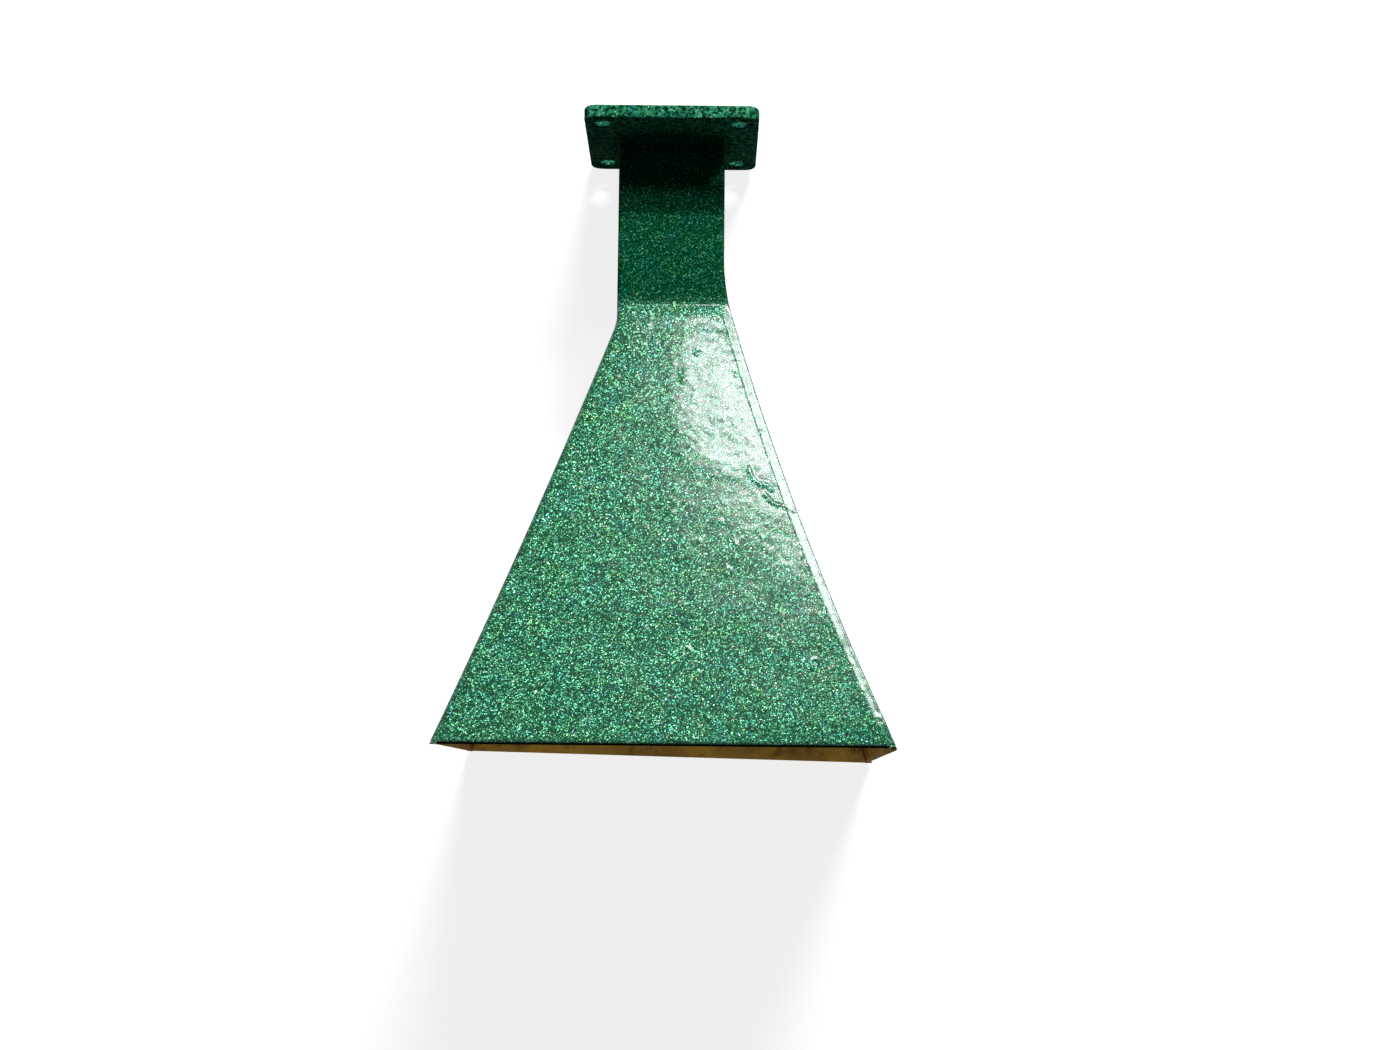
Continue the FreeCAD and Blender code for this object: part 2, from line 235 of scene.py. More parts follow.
def build_flake_enamel():
    """Dark green enamel with a tangle of light flakes and single flakes given painted glints; behind the
    throat it is painted darker as shade.
    """
    group, given, result = new_group(
        "flake enamel",
        [("Dark", COLOR, (0, 0.1, 0.04, 1)), ("Middle", COLOR, (0.03, 0.25, 0.12, 1)),
         ("Light", COLOR, (0.3, 0.6, 0.4, 1)), ("Flake size", FLOAT, 0.0005),
         ("Flashing", FLOAT, 0.5), ("Throat at", FLOAT, 0.0446)],
        [("Color", COLOR), ("Roughness", FLOAT), ("Metallic", FLOAT), ("Coat", FLOAT),
         ("Height", FLOAT), ("Normal", VECTOR)])
    place = node(group, "ShaderNodeTexCoord").outputs["Object"]
    inverse = calculate(group, "DIVIDE", 1.0, given.outputs["Flake size"])
    scaled = node(group, "ShaderNodeVectorMath", operation="SCALE")
    link(group, place, scaled.inputs[0])
    link(group, inverse, scaled.inputs["Scale"])
    tangle = noise_at(group, scaled.outputs[0], 1.9, detail=1.5, distortion=1.1)
    ridge = calculate(group, "ABSOLUTE", calculate(group, "SUBTRACT", tangle, 0.5))
    ridge = calculate(group, "SUBTRACT", 1.0, calculate(group, "MULTIPLY", ridge, 7.0), clamp=True)
    cells = node(group, "ShaderNodeTexVoronoi", Scale=1.0)
    link(group, scaled.outputs[0], cells.inputs["Vector"])
    split = node(group, "ShaderNodeSeparateColor")
    link(group, cells.outputs["Color"], split.inputs[0])
    fine = noise_at(group, scaled.outputs[0], 0.8, detail=1)
    light = calculate(group, "MULTIPLY", split.outputs[0], 0.54)
    light = calculate(group, "MULTIPLY_ADD", ridge, 0.28, light)
    light = calculate(group, "MULTIPLY_ADD", fine, 0.5, light)
    along = node(group, "ShaderNodeSeparateXYZ")
    link(group, place, along.inputs[0])
    # Painted shade: behind the throat, on the tube and the flange, the flakes are made darker and lose
    # their metal, coat and flashes, standing in for the shade these parts lie in.
    past_throat = calculate(group, "ADD", along.outputs["Y"], given.outputs["Throat at"])
    past_throat = step_up(group, calculate(group, "MULTIPLY", past_throat, -1.0), *THROAT_BLEND)
    light = calculate(group, "ADD", light, calculate(group, "MULTIPLY_ADD", past_throat, 0.09, -0.09))
    low = step_up(group, light, 0.38, 0.76)
    high = step_up(group, light, 0.83, 0.94)
    color = blend_colors(group, low, given.outputs["Dark"], given.outputs["Middle"])
    color = blend_colors(group, high, color, given.outputs["Light"])
    patches = noise_at(group, place, HUE_PATCH, detail=3, distortion=0.5)
    hue = calculate(group, "MULTIPLY_ADD", split.outputs[2], 0.3, patches)
    bluish = step_up(group, hue, 0.62, 0.85)
    yellowish = step_up(group, calculate(group, "SUBTRACT", 1.0, hue), 0.36, 0.58)
    color = blend_colors(group, calculate(group, "MULTIPLY", bluish, 0.42), color,
                         BLUISH_TINT, "MULTIPLY")
    color = blend_colors(group, calculate(group, "MULTIPLY", yellowish, 0.42), color,
                         YELLOWISH_TINT, "MULTIPLY")
    # Painted glints: a few flakes past the throat get a bright warm or cold colour, with some metal,
    # standing for the sparkle of flakes that catch the light.
    flash_cells = node(group, "ShaderNodeTexVoronoi", Scale=0.9, Randomness=1.0)
    link(group, scaled.outputs[0], flash_cells.inputs["Vector"])
    flash_split = node(group, "ShaderNodeSeparateColor")
    link(group, flash_cells.outputs["Color"], flash_split.inputs[0])
    near = step_up(group, calculate(group, "SUBTRACT", 0.5, flash_cells.outputs["Distance"]), 0.05, 0.25)
    chosen = calculate(group, "GREATER_THAN", flash_split.outputs[0],
                       calculate(group, "SUBTRACT", 1.0,
                                 calculate(group, "MULTIPLY", given.outputs["Flashing"], 0.09)))
    flash = calculate(group, "MULTIPLY", calculate(group, "MULTIPLY", near, chosen), past_throat)
    warm_or_cold = step_up(group, flash_split.outputs[1], 0.55, 0.75)
    painted_glint_color = blend_colors(group, warm_or_cold, WARM_PAINTED_GLINT, COLD_PAINTED_GLINT)
    color = blend_colors(group, flash, color, painted_glint_color)
    metal = calculate(group, "MULTIPLY_ADD", low, 0.13, 0.03)
    metal = calculate(group, "MULTIPLY", metal, past_throat)
    metal = calculate(group, "MULTIPLY_ADD", flash, 0.4, metal, clamp=True)
    rough = calculate(group, "SUBTRACT", 0.42, calculate(group, "MULTIPLY", high, 0.08))
    tilt = node(group, "ShaderNodeVectorMath", operation="SUBTRACT")
    link(group, cells.outputs["Color"], tilt.inputs[0])
    tilt.inputs[1].default_value = (0.5, 0.5, 0.5)
    lean = node(group, "ShaderNodeVectorMath", operation="SCALE")
    link(group, tilt.outputs[0], lean.inputs[0])
    link(group, calculate(group, "MULTIPLY", low, 0.38), lean.inputs["Scale"])
    turned = node(group, "ShaderNodeVectorMath", operation="ADD")
    link(group, node(group, "ShaderNodeNewGeometry").outputs["Normal"], turned.inputs[0])
    link(group, lean.outputs[0], turned.inputs[1])
    even = node(group, "ShaderNodeVectorMath", operation="NORMALIZE")
    link(group, turned.outputs[0], even.inputs[0])
    peel = noise_at(group, place, FINE_PEEL, detail=1)
    link(group, color, result.inputs["Color"])
    link(group, rough, result.inputs["Roughness"])
    link(group, metal, result.inputs["Metallic"])
    link(group, calculate(group, "MULTIPLY_ADD", past_throat, 0.55, 0.005), result.inputs["Coat"])
    link(group, peel, result.inputs["Height"])
    link(group, even.outputs[0], result.inputs["Normal"])
    return group


flake_enamel = build_flake_enamel()
ENAMEL_DARK = (0.0004, 0.02, 0.008, 1.0)
ENAMEL_LIGHT = (0.125, 0.43, 0.24, 1.0)
FINE_FLAKE = 0.31 * MM
ENAMEL_RELIEF = 0.05 * MM
ENAMEL_GLOSS = {"Coat Roughness": 0.115, "Coat IOR": 1.4, "Specular IOR Level": 0.0}


def enamel_values(middle, flake_size, flashing, dark=ENAMEL_DARK, light=ENAMEL_LIGHT):
    """Settings of the flake enamel; its middle green sets how light it looks from afar."""
    return {"Dark": dark, "Middle": middle, "Light": light,
            "Flake size": flake_size, "Flashing": flashing}


def enamel_finish(name, enamel):
    """Material of a skin of enamel."""
    material = bpy.data.materials.new(name)
    material.use_nodes = True
    tree = material.node_tree
    shader = tree.nodes["Principled BSDF"]
    set_inputs(shader, ENAMEL_GLOSS)
    surface = node(tree, "ShaderNodeGroup", node_tree=flake_enamel)
    set_inputs(surface, enamel)
    bump = node(tree, "ShaderNodeBump", Strength=0.6, Distance=ENAMEL_RELIEF)
    link(tree, surface.outputs["Color"], shader.inputs["Base Color"])
    link(tree, surface.outputs["Roughness"], shader.inputs["Roughness"])
    link(tree, surface.outputs["Metallic"], shader.inputs["Metallic"])
    link(tree, surface.outputs["Coat"], shader.inputs["Coat Weight"])
    link(tree, surface.outputs["Height"], bump.inputs["Height"])
    link(tree, surface.outputs["Normal"], bump.inputs["Normal"])
    link(tree, bump.outputs["Normal"], shader.inputs["Normal"])
    return material


PAINTED_RELIEF = 0.03 * MM


def mix_values(tree, factor, first, second):
    """Mix node on numbers or sockets; returns its result."""
    made = tree.nodes.new("ShaderNodeMix")
    for socket, value in ((made.inputs[0], factor), (made.inputs[2], first), (made.inputs[3], second)):
        if isinstance(value, (int, float)):
            socket.default_value = value
        else:
            tree.links.new(value, socket)
    return made.outputs[0]


def painted_brass(name, brass, enamel, where, gloss=1.0):
    """Brass with enamel where the mask says; where(tree, place, normal) builds the mask."""
    material = bpy.data.materials.new(name)
    material.use_nodes = True
    tree = material.node_tree
    shader = tree.nodes["Principled BSDF"]
    set_inputs(shader, ENAMEL_GLOSS)
    metal = node(tree, "ShaderNodeGroup", node_tree=dull_brass)
    set_inputs(metal, brass)
    paint = node(tree, "ShaderNodeGroup", node_tree=flake_enamel)
    set_inputs(paint, enamel)
    place = node(tree, "ShaderNodeTexCoord").outputs["Object"]
    normal = node(tree, "ShaderNodeNewGeometry").outputs["True Normal"]
    mask = where(tree, place, normal)
    color = blend_colors(tree, mask, metal.outputs["Color"], paint.outputs["Color"])
    rough = mix_values(tree, mask, metal.outputs["Roughness"], paint.outputs["Roughness"])
    flakes = calculate(tree, "MULTIPLY", paint.outputs["Metallic"], gloss)
    shine = mix_values(tree, mask, 1.0, flakes)
    height = mix_values(tree, mask, metal.outputs["Height"], paint.outputs["Height"])
    bump = node(tree, "ShaderNodeBump", Strength=0.35, Distance=PAINTED_RELIEF)
    link(tree, height, bump.inputs["Height"])
    link(tree, color, shader.inputs["Base Color"])
    link(tree, rough, shader.inputs["Roughness"])
    link(tree, shine, shader.inputs["Metallic"])
    coat = calculate(tree, "MULTIPLY", paint.outputs["Coat"], gloss)
    link(tree, calculate(tree, "MULTIPLY", mask, coat), shader.inputs["Coat Weight"])
    link(tree, bump.outputs["Normal"], shader.inputs["Normal"])
    return material


RAGGED_SIZE = 0.8 * MM
RAGGED_BY = 0.08 * MM
EDGE_SOFT = 0.05 * MM


def behind_the_face(tree, place, normal):
    """Enamel from just behind the mating face, with a ragged edge."""
    split = node(tree, "ShaderNodeSeparateXYZ")
    link(tree, place, split.inputs[0])
    ragged = noise_at(tree, place, RAGGED_SIZE, detail=2)
    edge = calculate(tree, "MULTIPLY_ADD", ragged, RAGGED_BY, split.outputs["Y"])
    return step_up(tree, calculate(tree, "MULTIPLY", edge, -1), -EDGE_SOFT, 0.0)


FACE_METAL = brass_values(linear(190, 160, 92), 0.35, 0.2, (0.06, 1.0, 1.0))
FLANGE_PAINT = enamel_values((0.03, 0.2, 0.12, 1.0), FINE_FLAKE, 0.3)
dress("flange", painted_brass("enamelled_flange_brass", FACE_METAL, FLANGE_PAINT, behind_the_face))


# Braze round the tube
# Brass rod melted into the corner between the tube and the flange's back, and left as it set.
# The enamel runs over all of it.

def all_over(tree, place, normal):
    """Enamel everywhere."""
    return calculate(tree, "ADD", 1.0, 0.0)


BRAZE_METAL = brass_values(linear(118, 94, 48), 0.6, 0.4, (1.0, 1.0, 1.0), linear(88, 66, 34))
dress("flange_braze_fillet", painted_brass("enamelled_fillet", BRAZE_METAL, FLANGE_PAINT, all_over))


# Flare
# Four sheets of brass cut to shape, bent at the throat and brazed along their edges.
# Heat and flux have dulled the inside brown and golden, and its colour carries painted shade as well; its
# rims are cut by hand.

BROAD_GRAIN = (0.4, 0.05, 1.0)
NARROW_GRAIN = (1.0, 0.05, 0.4)
# Painted shade: the inside sheets' brass is far darker than the tube's bore, partly dulled brass and
# partly painted shade of the mouth's inside.
BARE_SHEETS_WITH_PAINTED_SHADE = {
    "horn_bottom_wall": brass_values(linear(114, 88, 32), 0.5, 0.35, BROAD_GRAIN),
    "horn_left_wall": brass_values(linear(112, 86, 44), 0.7, 0.35, NARROW_GRAIN),
    "horn_right_wall": brass_values(linear(108, 82, 38), 0.7, 0.4, NARROW_GRAIN),
}
for sheet_name, sheet_metal in BARE_SHEETS_WITH_PAINTED_SHADE.items():
    dress(sheet_name, brass_finish("brass_" + sheet_name, sheet_metal, LINE_RELIEF))


FACES_FORWARDS = 0.6
FACES_UP = 0.3


def outside_and_rim(tree, place, normal):
    """Enamel where the sheet faces up or forwards, as the paint ran over the top sheet's rim."""
    split = node(tree, "ShaderNodeSeparateXYZ")
    link(tree, normal, split.inputs[0])
    ahead = calculate(tree, "MULTIPLY", split.outputs["Y"], -1)
    forwards = calculate(tree, "GREATER_THAN", ahead, FACES_FORWARDS)
    upwards = calculate(tree, "GREATER_THAN", split.outputs["Z"], FACES_UP)
    return calculate(tree, "MAXIMUM", forwards, upwards)


# The top sheet's inside brass is darkened the same way, partly dulled and partly painted shade.
TOP_METAL_WITH_PAINTED_SHADE = brass_values(linear(118, 92, 46), 0.6, 0.3, BROAD_GRAIN)
# Painted shade: the top sheet's rim gets a near-black enamel, far darker than the coat elsewhere, for the
# shade its forward face lies in; no gloss or flakes shine on it.
RIM_PAINT_IN_PAINTED_SHADE = enamel_values((0.001, 0.016, 0.008, 1.0), FINE_FLAKE, 0.1,
                          dark=(0.0005, 0.008, 0.004, 1.0), light=(0.01, 0.05, 0.03, 1.0))
dress("horn_top_wall",
      painted_brass("enamelled_top_sheet", TOP_METAL_WITH_PAINTED_SHADE, RIM_PAINT_IN_PAINTED_SHADE, outside_and_rim, gloss=0.0))


# Corner seams
# Brass rod run into the four corners of the flare, filed round outside and left as a bead inside.
# The beads have dulled to the brown of the sheets, which carries painted shade as well, and the upper two
# are painted at the rim too.

BEAD_RELIEF = 0.05 * MM
# The braze's brown, bare on the lower beads, is partly dulled brass and partly painted shade like the
# sheets.
for hand in ("left", "right"):
    dress("seam_braze_top_" + hand,
          painted_brass("enamelled_seam_" + hand, BRAZE_METAL, FLANGE_PAINT, outside_and_rim))
    dress("seam_braze_bottom_" + hand, brass_finish("bare_seam_" + hand, BRAZE_METAL, BEAD_RELIEF))


# Enamel on the tube and the flare
# Glossy green enamel full of fine bright flakes, sprayed thick over the metal in one piece; on the tube
# it is painted darker and dull as shade.
# It has set with an orange peel, two wrinkles, a few grains of dust and small chips,
# and has run together into a fat edge along the flare's upper right corner.

# Sizes of the metal under the coat, read from the frame where it gives them
tube_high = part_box("waveguide_tube")[1]
flange_low, flange_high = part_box("flange")
fillet_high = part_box("flange_braze_fillet")[1]
HALF_TUBE_WIDTH = tube_high.x
HALF_TUBE_HEIGHT = tube_high.z
FLANGE_BACK = -flange_low.y
FILLET_SIZE = fillet_high.x - HALF_TUBE_WIDTH
SHEETS_START_AT = -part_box("horn_top_wall")[1].y
HALF_MOUTH_WIDTH = 51.2 * MM
HALF_MOUTH_HEIGHT = 38.7 * MM
MOUTH_AT = 151.3 * MM
LEFT_THROAT_AT = 49.5 * MM
RIGHT_THROAT_AT = 40.0 * MM
BROAD_THROAT_AT = 44.6 * MM
LEFT_BOW = 0.6 * MM
RIGHT_BOW = 2.3 * MM
BROAD_BOW = 0.9 * MM
LEFT_BEND = 5.0 * MM
RIGHT_BEND = 60.0 * MM
BROAD_BEND = 4.0 * MM
TUBE_CORNER = 0.8 * MM
FLARE_CORNER = 1.2 * MM
CORNER_CHANGE = 6.0 * MM
RIM_LEADS = {"top left": 0.0, "top right": 0.0, "bottom right": 0.6 * MM, "bottom left": -1.7 * MM}
RIGHT_WALL_TOP_LEAD = 0.9 * MM
RIM_BARE = 0.12 * MM

# The coat itself, and how finely its mesh follows it
FILM = 0.1 * MM
PEEL_SIZE = 1.4 * MM
PEEL_DEPTH = 0.0105 * MM
SMALL_PEEL_SIZE = PEEL_SIZE * 0.55
SMALL_PEEL_DEPTH = PEEL_DEPTH * 0.35
SWELL_SIZE = 9.0 * MM
SWELL_DEPTH = 0.03 * MM
DUST_SIZE = 2.1 * MM
DUST_HEIGHT = 0.03 * MM
DUST_STARTS = (0.5, 0.72)
FOOT = 0.35 * MM
FOOT_SLOPE = -20.0
FOOT_TAPER = (-0.1 * MM, 0.2 * MM)
ROW_PITCH = 0.5 * MM
TOP_PITCH = 0.5 * MM
OTHER_PITCH = 0.65 * MM
LINING_PITCH = 4.0 * MM
CORNER_STEPS = 5
EDGE_STEPS = 10
RIM_TAPER = 0.5 * MM
RIM_STRETCH = 12 * MM
SIDE_BAND = 0.05 * MM
UNDER_METAL = 0.03 * MM


def side_curve(half_throat, half_mouth, throat_at, bow, bend):
    """Half-width and slope of one side of the flare at a distance from the mating face."""
    run = MOUTH_AT - throat_at
    rise = half_mouth - half_throat
    chord = math.hypot(run, rise)
    arc = (chord * chord / 4 + bow * bow) / (2 * bow)
    arc_d = throat_at + run / 2 - (arc - bow) * rise / chord
    arc_w = half_throat + rise / 2 + (arc - bow) * run / chord
    bend_w = half_throat + bend
    bend_d = arc_d + math.sqrt((arc - bend) ** 2 - (bend_w - arc_w) ** 2)
    turn = math.atan2(bend_d - arc_d, arc_w - bend_w)
    bend_end = bend_d + bend * math.sin(turn)

    def at(distance):
        if distance <= bend_d:
            return half_throat, 0.0
        if distance <= bend_end:
            across = math.sqrt(bend ** 2 - (distance - bend_d) ** 2)
            return bend_w - across, (distance - bend_d) / across
        across = math.sqrt(arc ** 2 - (distance - arc_d) ** 2)
        return arc_w - across, (distance - arc_d) / across

    return at


left_side = side_curve(HALF_TUBE_WIDTH, HALF_MOUTH_WIDTH, LEFT_THROAT_AT, LEFT_BOW, LEFT_BEND)
right_side = side_curve(HALF_TUBE_WIDTH, HALF_MOUTH_WIDTH, RIGHT_THROAT_AT, RIGHT_BOW, RIGHT_BEND)
broad_side = side_curve(HALF_TUBE_HEIGHT, HALF_MOUTH_HEIGHT, BROAD_THROAT_AT, BROAD_BOW, BROAD_BEND)


def mix(first, second, share):
    """Number at this share of the way from first to second."""
    return first + (second - first) * share


def soft(value, low, high):
    """0 at low, 1 at high, with a soft step between."""
    share = min(max((value - low) / (high - low), 0.0), 1.0)
    return share * share * (3 - 2 * share)


# Wrinkles and chips in plan, in millimetres: across from the middle and along from the mating face
WRINKLES = [
    [(18.7, 86.3), (19.6, 88.8), (21.0, 90.3), (23.3, 90.7), (24.2, 91.9)],
    [(22.4, 92.7), (24.2, 94.9), (26.0, 95.6), (27.9, 96.1), (29.3, 97.0)],
]
WRINKLE_HALF_WIDTH = 0.36 * MM
WRINKLE_HEIGHT = 0.042 * MM
WRINKLE_TROUGH = 0.25
WRINKLE_REACH = 6 * MM
CHIPS = [(4.8, 130.4, 0.55), (33.6, 132.7, 0.5), (14.1, 111.6, 0.45)]
CHIP_DEPTH = 0.8 * FILM

# The fat edge: how round its corner is, how far it rises and falls beside it, and how high
EDGE_ROUND = 0.22 * MM
EDGE_RISE = 45.0 * MM
EDGE_FALL = 1.9 * MM
EDGE_HEIGHT = 0.26 * MM
EDGE_FULL_AT = BROAD_THROAT_AT + 4 * MM
EDGE_FADES = (146.5 * MM, 151.0 * MM)


def distance_to_run(x, d, run):
    """Distance in plan from a point to a line of points given in millimetres."""
    nearest = 1.0
    point = Vector((x, d))
    for (x_a, d_a), (x_b, d_b) in zip(run, run[1:]):
        start = Vector((x_a, d_a)) * MM
        along = Vector((x_b, d_b)) * MM - start
        share = min(max((point - start).dot(along) / along.length_squared, 0.0), 1.0)
        nearest = min(nearest, (start + along * share - point).length)
    return nearest


def up_share(facing):
    """1 where the metal faces up, 0 on its sides."""
    return soft(facing.z, 0.3, 0.8)


def fat_edge(point, facing):
    """Enamel gathered along the flare's right upper edge: a fuller corner and a slow fall to it."""
    d = -point.y
    extra = 0.0
    if facing.x > 0:
        turn = math.atan2(facing.z, facing.x)
        across = math.cos(turn)
        up = math.sin(turn)
        inset = FLARE_CORNER - EDGE_ROUND
        if FLARE_CORNER * min(across, up) <= inset * max(across, up):
            extra = FLARE_CORNER / max(across, up) - FLARE_CORNER
        else:
            inside = EDGE_ROUND ** 2 - inset ** 2 * (1 - 2 * across * up)
            extra = inset * (across + up) + math.sqrt(inside) - FLARE_CORNER
    from_corner = right_side(d)[0] - EDGE_ROUND - point.x
    fall = min(max(from_corner / EDGE_FALL, 0.0), 1.0)
    rise = soft(from_corner, EDGE_FALL + EDGE_RISE, EDGE_FALL)
    past_throat = soft(d, RIGHT_THROAT_AT, EDGE_FULL_AT)
    return (extra + EDGE_HEIGHT * rise * fall * up_share(facing)) * past_throat


def coat_depth(point, facing):
    """How thick the enamel is over the metal at this point."""
    depth = FILM + SWELL_DEPTH * noise.noise(point / SWELL_SIZE)
    depth += PEEL_DEPTH * noise.noise(point / PEEL_SIZE)
    depth += SMALL_PEEL_DEPTH * noise.noise(point / SMALL_PEEL_SIZE + Vector((7, 3, 1)))
    dust = noise.noise(point / DUST_SIZE + Vector((3, 9, 4)))
    depth += DUST_HEIGHT * soft(dust, *DUST_STARTS)
    d = -point.y
    if facing.z > 0:
        depth += fat_edge(point, facing) * (1 - soft(d, *EDGE_FADES))
    if facing.z > 0.5:
        for run in WRINKLES:
            middle_x, middle_d = run[2]
            if max(abs(point.x - middle_x * MM), abs(d - middle_d * MM)) < WRINKLE_REACH:
                away = distance_to_run(point.x, d, run) / WRINKLE_HALF_WIDTH
                depth += WRINKLE_HEIGHT * math.exp(-away * away)
                depth -= WRINKLE_HEIGHT * WRINKLE_TROUGH * math.exp(-(away - 1.8) ** 2 * 2)
        for chip_x, chip_d, radius in CHIPS:
            away = math.hypot(point.x - chip_x * MM, d - chip_d * MM) / (radius * MM)
            if away < 3:
                depth += CHIP_DEPTH * math.exp(-(away - 1.5) ** 2 * 4)
                depth -= CHIP_DEPTH * math.exp(-away * away * 2)
    return depth


def corner_shares(pitch, is_fat_edge):
    """Where a corner's points stand on its turn; the fat edge's crowd round the middle."""
    if pitch == LINING_PITCH:
        return [0.0, 1.0]
    if not is_fat_edge:
        return [step / CORNER_STEPS for step in range(CORNER_STEPS + 1)]
    halves = [2 * step / EDGE_STEPS - 1 for step in range(EDGE_STEPS + 1)]
    return [0.5 + 0.5 * half * abs(half) for half in halves]


class Ring:
    """Outline of the metal at one distance, as eight runs: four sides and four corners."""

    def __init__(self, distance, grow=0.0, fillet_slope=None):
        left, left_slope = left_side(distance)
        right, right_slope = right_side(distance)
        broad, broad_slope = broad_side(distance)
        if fillet_slope is not None:
            left_slope = right_slope = broad_slope = fillet_slope
        share = soft(distance, SHEETS_START_AT, SHEETS_START_AT + CORNER_CHANGE)
        self.distance = distance
        self.radius = mix(TUBE_CORNER, FLARE_CORNER, share) + grow
        self.reach = {"left": left + grow, "right": right + grow, "broad": broad + grow}
        self.slope = {"left": left_slope, "right": right_slope, "broad": broad_slope}

    def corner(self, hand, level, turn):
        """Point and direction out of the metal on a rounded corner: turn 0 faces sideways."""
        side = 1 if hand == "right" else -1
        up = 1 if level == "top" else -1
        x = self.reach[hand] - self.radius + self.radius * math.cos(turn)
        z = self.reach["broad"] - self.radius + self.radius * math.sin(turn)
        lean = self.slope[hand] * math.cos(turn) + self.slope["broad"] * math.sin(turn)
        point = Vector((side * x, -self.distance, up * z))
        return point, Vector((side * math.cos(turn), lean, up * math.sin(turn))).normalized()

    def runs(self, pitch, top_pitch):
        """The eight runs as lists of points; each starts where the one before it ends."""
        quarter = math.pi / 2
        order = [("left", "top", quarter, 0), ("left", "bottom", 0, quarter),
                 ("right", "bottom", quarter, 0), ("right", "top", 0, quarter)]
        result = []
        for number, (hand, level, start, end) in enumerate(order):
            shares = corner_shares(pitch, hand == "right" and level == "top")
            result.append([self.corner(hand, level, mix(start, end, share)) for share in shares])
            next_hand, next_level, next_start, _ = order[(number + 1) % 4]
            here, facing = self.corner(hand, level, end)
            there, _ = self.corner(next_hand, next_level, next_start)
            spacing = top_pitch if level == "top" and next_level == "top" else pitch
            count = max(2, round((there - here).length / spacing))
            result.append([(here.lerp(there, i / count), facing) for i in range(count + 1)])
        return result


def rim_lead(point, ring):
    """How far ahead of the nominal mouth the rim stands beside this point."""
    across = (point.x + ring.reach["left"]) / (ring.reach["left"] + ring.reach["right"])
    rise = (point.z + ring.reach["broad"]) / (2 * ring.reach["broad"])
    top = mix(RIM_LEADS["top left"], RIM_LEADS["top right"], across)
    if point.x > ring.reach["right"] - SIDE_BAND:
        top = RIGHT_WALL_TOP_LEAD * soft(ring.reach["broad"] - point.z, FLARE_CORNER, 2 * FLARE_CORNER)
    bottom = mix(RIM_LEADS["bottom left"], RIM_LEADS["bottom right"], across)
    return mix(bottom, top, rise)


def slide(point, distance, lead):
    """Moves a point of the metal ahead along the flare's own surface."""
    side = right_side if point.x > 0 else left_side
    wider = side(distance + lead)[0] / side(distance)[0]
    higher = broad_side(distance + lead)[0] / broad_side(distance)[0]
    return Vector((point.x * wider, point.y - lead, point.z * higher))


def zip_rows(faces, row_a, row_b):
    """Triangles between two rows of points that run side by side and may differ in number."""
    a = b = 0
    last_a = len(row_a) - 1
    last_b = len(row_b) - 1
    while a < last_a or b < last_b:
        if b == last_b or (a < last_a and (a + 1) * last_b <= (b + 1) * last_a):
            faces.append((row_a[a], row_a[a + 1], row_b[b]))
            a += 1
        else:
            faces.append((row_a[a], row_b[b + 1], row_b[b]))
            b += 1


def coat_rings(pitch):
    """Rings from the flange's back, round the fillet of braze and along to the mouth."""
    rings = [Ring(FLANGE_BACK, FILLET_SIZE + FOOT, FOOT_SLOPE)]
    fillet_steps = max(2, round(FILLET_SIZE * 1.6 / pitch))
    for count in range(1, fillet_steps):
        angle = math.pi / 2 * count / fillet_steps
        distance = FLANGE_BACK + FILLET_SIZE * (1 - math.cos(angle))
        rings.append(Ring(distance, FILLET_SIZE * (1 - math.sin(angle)), -1 / math.tan(angle)))
    start = FLANGE_BACK + FILLET_SIZE
    end = MOUTH_AT - RIM_BARE
    count = round((end - start) / pitch)
    rings += [Ring(mix(start, end, step / count)) for step in range(count + 1)]
    return rings


def lay_points(ring, vertices, pitch, top_pitch, depth_of):
    """Adds a ring's points, each moved out by the depth there; returns their numbers by run."""
    end = MOUTH_AT - RIM_BARE
    rows = []
    first = len(vertices)
    for run in ring.runs(pitch, top_pitch):
        row = [len(vertices) - 1] if rows else [first]
        for index, (point, facing) in enumerate(run):
            if index == 0 and rows:
                continue
            near_rim = soft(ring.distance, end - RIM_STRETCH, end)
            moved = slide(point, ring.distance, rim_lead(point, ring) * near_rim)
            vertices.append(moved + facing * depth_of(moved, facing, ring))
            if index:
                row.append(len(vertices) - 1)
        rows.append(row)
    vertices.pop()
    rows[-1][-1] = first
    return rows


def outer_depth(point, facing, ring):
    """The coat's depth, which runs out at the rim of the mouth and on the flange's back."""
    to_rim = MOUTH_AT - RIM_BARE - ring.distance
    to_start = ring.distance - FLANGE_BACK
    taper = math.sqrt(min(to_rim / RIM_TAPER, 1.0)) if to_rim > 0 else 0.0
    return coat_depth(point, facing) * taper * soft(to_start, *FOOT_TAPER)


def inner_depth(point, facing, ring):
    """The coat's lining lies just under the metal's surface."""
    return -UNDER_METAL


